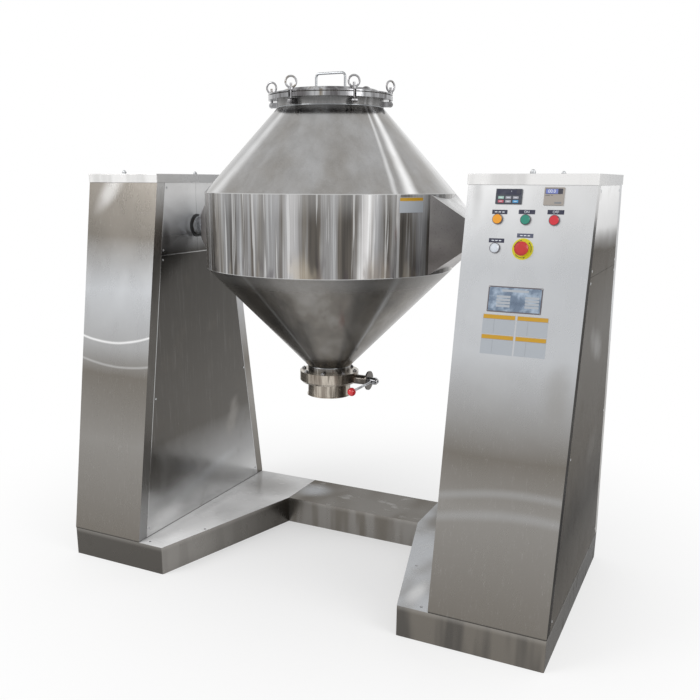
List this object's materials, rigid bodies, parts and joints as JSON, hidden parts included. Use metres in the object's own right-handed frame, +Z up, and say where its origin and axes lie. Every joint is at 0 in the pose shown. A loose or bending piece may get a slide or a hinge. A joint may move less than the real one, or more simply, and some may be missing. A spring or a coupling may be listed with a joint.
{
  "type": "double cone mixer",
  "caption": "Double-cone drum on trunnions between two stainless columns, with a bolted lid, an outlet butterfly valve and an operator panel.",
  "frame": {"origin": "middle of the footprint, on the floor", "axes": "+X along the trunnion axis towards the drive column, +Y to the back, +Z up"},
  "size_m": [1.793, 0.876, 1.736],
  "materials": {
    "cover_sheet": "brushed stainless steel sheet with a vertical grain",
    "polished_sheet": "mirror-polished stainless steel",
    "satin_steel": "turned and satin-finished stainless steel",
    "painted_frame": "dark grey primer",
    "cast_housing": "painted casting",
    "motor_shell": "painted ribbed casting",
    "bearing_steel": "ground bearing steel",
    "seal_rubber": "black moulded rubber",
    "gasket_rubber": "dark food-grade rubber",
    "knob_red": "polished red plastic",
    "button_yellow": "glossy moulded plastic",
    "button_green": "glossy moulded plastic",
    "button_red": "glossy moulded plastic",
    "lens_white": "translucent white plastic",
    "plate_yellow": "plain yellow plastic disc",
    "bezel_metal": "plated bezel ring",
    "device_dark": "dark moulded plastic",
    "device_grey": "grey moulded plastic",
    "plunger_grey": "grey moulded plastic"
  },
  "bodies": {
    "frame": {"base_frame": "painted_frame", "bearing_inserts": "bearing_steel", "control_box": "cover_sheet", "cover_fasteners": "satin_steel", "drive_motor": "motor_shell", "estop_plate": "plate_yellow", "gear_reducer": "cast_housing", "indicator_lens": "lens_white", "left_column_cap": "cover_sheet", "left_column_frame": "painted_frame", "left_front_cover": "cover_sheet", "left_inner_lower_panel": "cover_sheet", "left_inner_upper_panels": "cover_sheet", "left_outer_panels": "cover_sheet", "left_plinth_cover": "cover_sheet", "left_rear_cover": "cover_sheet", "motor_fan_cowl": "painted_frame", "operator_bezels": "bezel_metal", "pillow_blocks": "cast_housing", "process_timer": "device_grey", "rear_beam_cover": "cover_sheet", "right_column_cap": "cover_sheet", "right_column_frame": "painted_frame", "right_front_cover": "cover_sheet", "right_inner_lower_panel": "cover_sheet", "right_inner_upper_panels": "cover_sheet", "right_outer_panels": "cover_sheet", "right_plinth_cover": "cover_sheet", "right_rear_cover": "cover_sheet", "shaft_seals": "seal_rubber", "speed_keypad": "device_dark"},
    "drum": {"bolt_lugs": "satin_steel", "drum_band": "polished_sheet", "lid": "satin_steel", "lid_gasket": "gasket_rubber", "lid_handle": "satin_steel", "lower_cone": "polished_sheet", "lug_pins": "satin_steel", "neck_flange": "satin_steel", "outlet_flange": "satin_steel", "shaft_coupling": "cast_housing", "trunnion_boxes": "polished_sheet", "trunnion_shafts": "satin_steel", "upper_cone": "polished_sheet", "valve_body": "satin_steel", "valve_seat": "gasket_rubber"},
    "outlet_valve": {"lever_knob": "knob_red", "valve_disc": "satin_steel", "valve_lever": "satin_steel"},
    "estop_head": {"estop_head": "button_red"},
    "estop_stem": {"estop_stem": "plunger_grey"},
    "green_button": {"green_button": "button_green"},
    "red_button": {"red_button": "button_red"},
    "swing_bolt_1": {"swing_bolt_1": "satin_steel"},
    "swing_bolt_2": {"swing_bolt_2": "satin_steel"},
    "swing_bolt_3": {"swing_bolt_3": "satin_steel"},
    "swing_bolt_4": {"swing_bolt_4": "satin_steel"},
    "swing_bolt_5": {"swing_bolt_5": "satin_steel"},
    "swing_bolt_6": {"swing_bolt_6": "satin_steel"},
    "yellow_button": {"yellow_button": "button_yellow"}
  },
  "joints": [
    {"name": "drum_turn", "type": "hinge", "parent": "frame", "child": "drum", "pos_m": [-0.03, 0, 1.225], "axis": [1, 0, 0], "continuous": true},
    {"name": "valve_turn", "type": "hinge", "parent": "drum", "child": "outlet_valve", "pos_m": [-0.03, 0, 0.7035], "axis": [1, 0, 0], "range_deg": [0, 90]},
    {"name": "swing_bolt_1_swing", "type": "hinge", "parent": "drum", "child": "swing_bolt_1", "pos_m": [0.16021, 0.0618, 1.632], "axis": [-0.309, 0.9511, 0], "range_deg": [0, 110]},
    {"name": "swing_bolt_2_swing", "type": "hinge", "parent": "drum", "child": "swing_bolt_2", "pos_m": [0.01158, 0.19563, 1.632], "axis": [-0.9781, 0.2079, 0], "range_deg": [0, 110]},
    {"name": "swing_bolt_3_swing", "type": "hinge", "parent": "drum", "child": "swing_bolt_3", "pos_m": [-0.17863, 0.13383, 1.632], "axis": [-0.6691, -0.7431, 0], "range_deg": [0, 110]},
    {"name": "swing_bolt_4_swing", "type": "hinge", "parent": "drum", "child": "swing_bolt_4", "pos_m": [-0.22021, -0.0618, 1.632], "axis": [0.309, -0.9511, 0], "range_deg": [0, 110]},
    {"name": "swing_bolt_5_swing", "type": "hinge", "parent": "drum", "child": "swing_bolt_5", "pos_m": [-0.07158, -0.19563, 1.632], "axis": [0.9781, -0.2079, 0], "range_deg": [0, 110]},
    {"name": "swing_bolt_6_swing", "type": "hinge", "parent": "drum", "child": "swing_bolt_6", "pos_m": [0.11863, -0.13383, 1.632], "axis": [0.6691, 0.7431, 0], "range_deg": [0, 110]},
    {"name": "yellow_button_press", "type": "slide", "parent": "frame", "child": "yellow_button", "axis": [0, 0.9866, -0.1633], "range_m": [0, 0.003], "stiffness_N_per_m": 800},
    {"name": "green_button_press", "type": "slide", "parent": "frame", "child": "green_button", "axis": [0, 0.9866, -0.1633], "range_m": [0, 0.003], "stiffness_N_per_m": 800},
    {"name": "red_button_press", "type": "slide", "parent": "frame", "child": "red_button", "axis": [0, 0.9866, -0.1633], "range_m": [0, 0.003], "stiffness_N_per_m": 800},
    {"name": "estop_press", "type": "slide", "parent": "frame", "child": "estop_stem", "axis": [0, 0.9866, -0.1633], "range_m": [0, 0.0045]},
    {"name": "estop_twist", "type": "hinge", "parent": "estop_stem", "child": "estop_head", "pos_m": [0.7068, -0.26708, 1.20625], "axis": [0, -0.9866, 0.1633], "range_deg": [0, 30], "stiffness_Nm_per_rad": 0.05}
  ]
}
